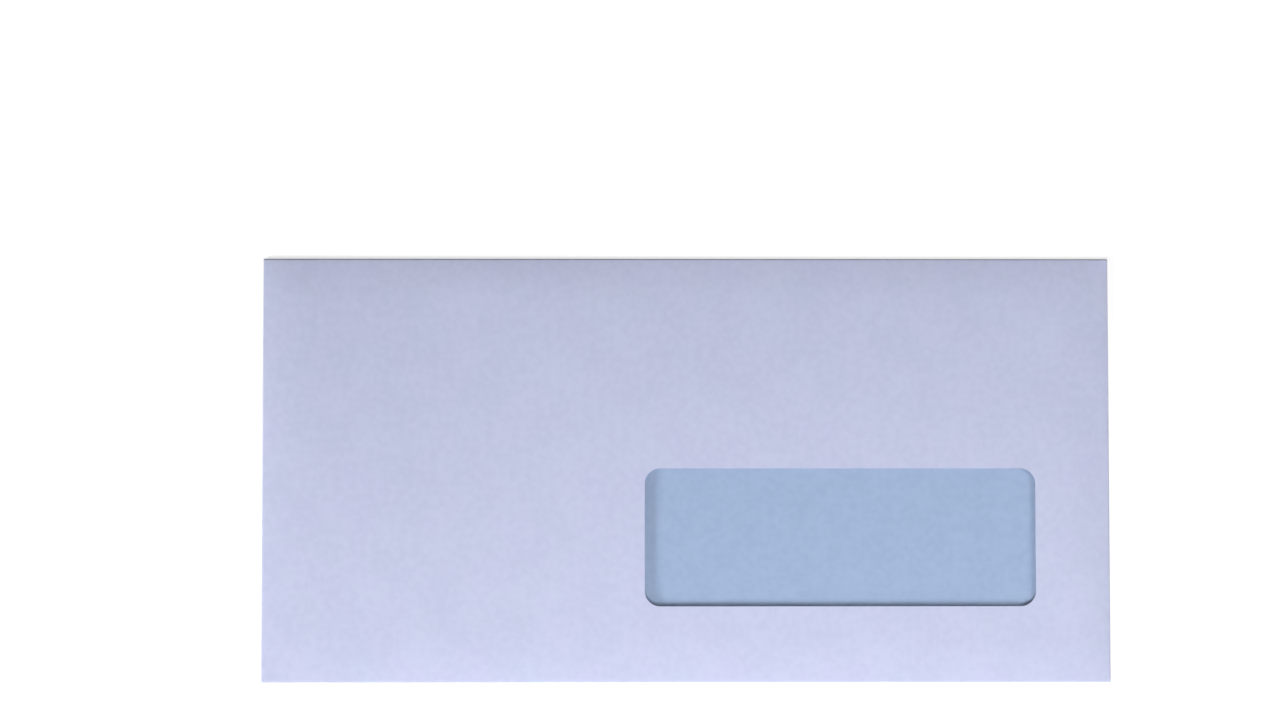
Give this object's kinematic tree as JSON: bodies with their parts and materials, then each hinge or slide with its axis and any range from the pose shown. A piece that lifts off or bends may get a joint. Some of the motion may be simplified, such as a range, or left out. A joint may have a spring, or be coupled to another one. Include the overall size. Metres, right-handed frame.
{
  "type": "window envelope",
  "caption": "Long paper envelope lying window side up: folded blank with a clear address window, glued side seams and a closed self-seal flap with its release strip.",
  "frame": {"origin": "under the middle of the envelope, on the surface it lies on", "axes": "+X to the window's end along the envelope, +Y to the seal flap's fold, +Z out of the front panel with the window"},
  "size_m": [0.22, 0.11, 0.0013],
  "materials": {
    "paper": "smooth uncoated white wove paper with a cool cast",
    "clear_film": "thin clear glossy film",
    "dry_gum": "thin dried gum",
    "self_seal_adhesive": "soft tacky band with a faint yellow edge",
    "silicone_liner": "thin translucent grey strip, silicone coated"
  },
  "bodies": {
    "root": {"envelope_sheet": "paper", "window_gum": "dry_gum", "window_film": "clear_film", "side_seam_gum_left": "dry_gum", "side_seam_gum_right": "dry_gum", "flap_adhesive": "self_seal_adhesive", "release_liner": "silicone_liner"}
  },
  "joints": []
}
